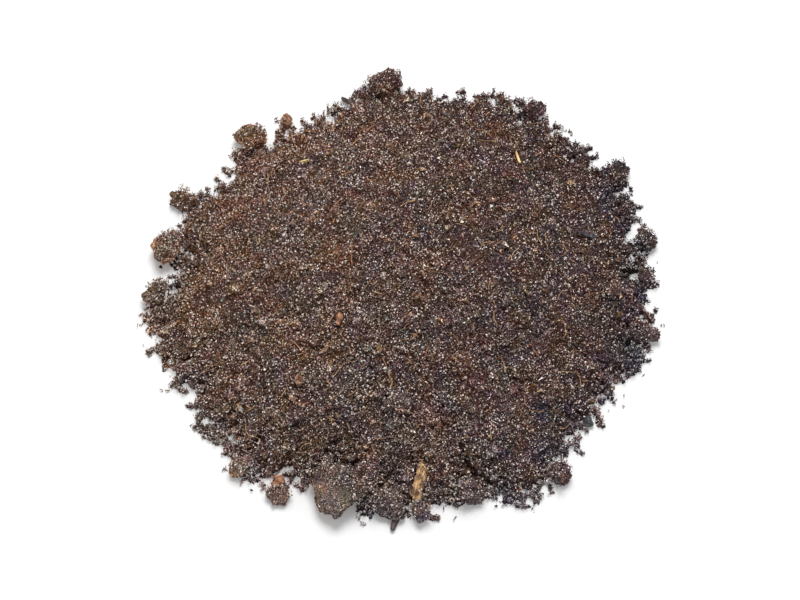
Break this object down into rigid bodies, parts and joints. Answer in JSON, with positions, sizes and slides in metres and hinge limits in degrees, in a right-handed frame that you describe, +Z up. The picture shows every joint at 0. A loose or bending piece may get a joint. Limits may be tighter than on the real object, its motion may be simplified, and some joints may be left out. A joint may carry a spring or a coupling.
{
  "type": "heap of terrarium substrate",
  "caption": "Low round heap of dark peat crumb with clods, bark, wood chips, twigs and straw, spread on a table as bedding for a terrarium.",
  "frame": {"origin": "on the table, under the middle of the heap's round foot", "axes": "+X to the right and +Y away from the viewer of the picture, +Z up out of the table"},
  "size_m": [0.2525, 0.2468, 0.0443],
  "materials": {
    "crumb": "rough, loose dark brown crumb with pale grains and fibres",
    "clod": "rough caked brown crumb",
    "dark_clod": "rough caked black-brown crumb",
    "warm_clod": "rough caked red-brown crumb",
    "bark": "matt red-brown bark",
    "pebble": "matt grey grit",
    "twig": "weathered grey-brown stick",
    "straw": "dry yellow stalk",
    "wood": "split light brown wood"
  },
  "bodies": {
    "root": {"soil_heap": "crumb", "front_clod": "clod", "front_middle_clod": "dark_clod", "front_dark_clod": "dark_clod", "front_inner_clod": "dark_clod", "front_right_clod": "clod", "dark_pebble": "pebble", "right_low_clod": "clod", "right_middle_clod": "clod", "right_upper_clod": "clod", "right_back_clod": "dark_clod", "back_right_clod": "dark_clod", "back_small_clod": "dark_clod", "back_nose_clod": "clod", "back_bark_bit": "bark", "back_left_clod": "warm_clod", "left_upper_clod": "clod", "left_clod": "warm_clod", "left_lower_clod": "clod", "front_left_clod": "warm_clod", "bark_nugget": "bark", "front_low_clod": "dark_clod", "crest_clod": "clod", "right_slope_clod": "clod", "bark_chip_left": "bark", "bark_chip_middle": "bark", "grey_sliver": "pebble", "blue_grey_chip": "pebble", "back_twig": "twig", "front_twig": "twig", "short_straw": "straw", "long_straw": "straw", "wood_chip": "wood"}
  },
  "joints": []
}
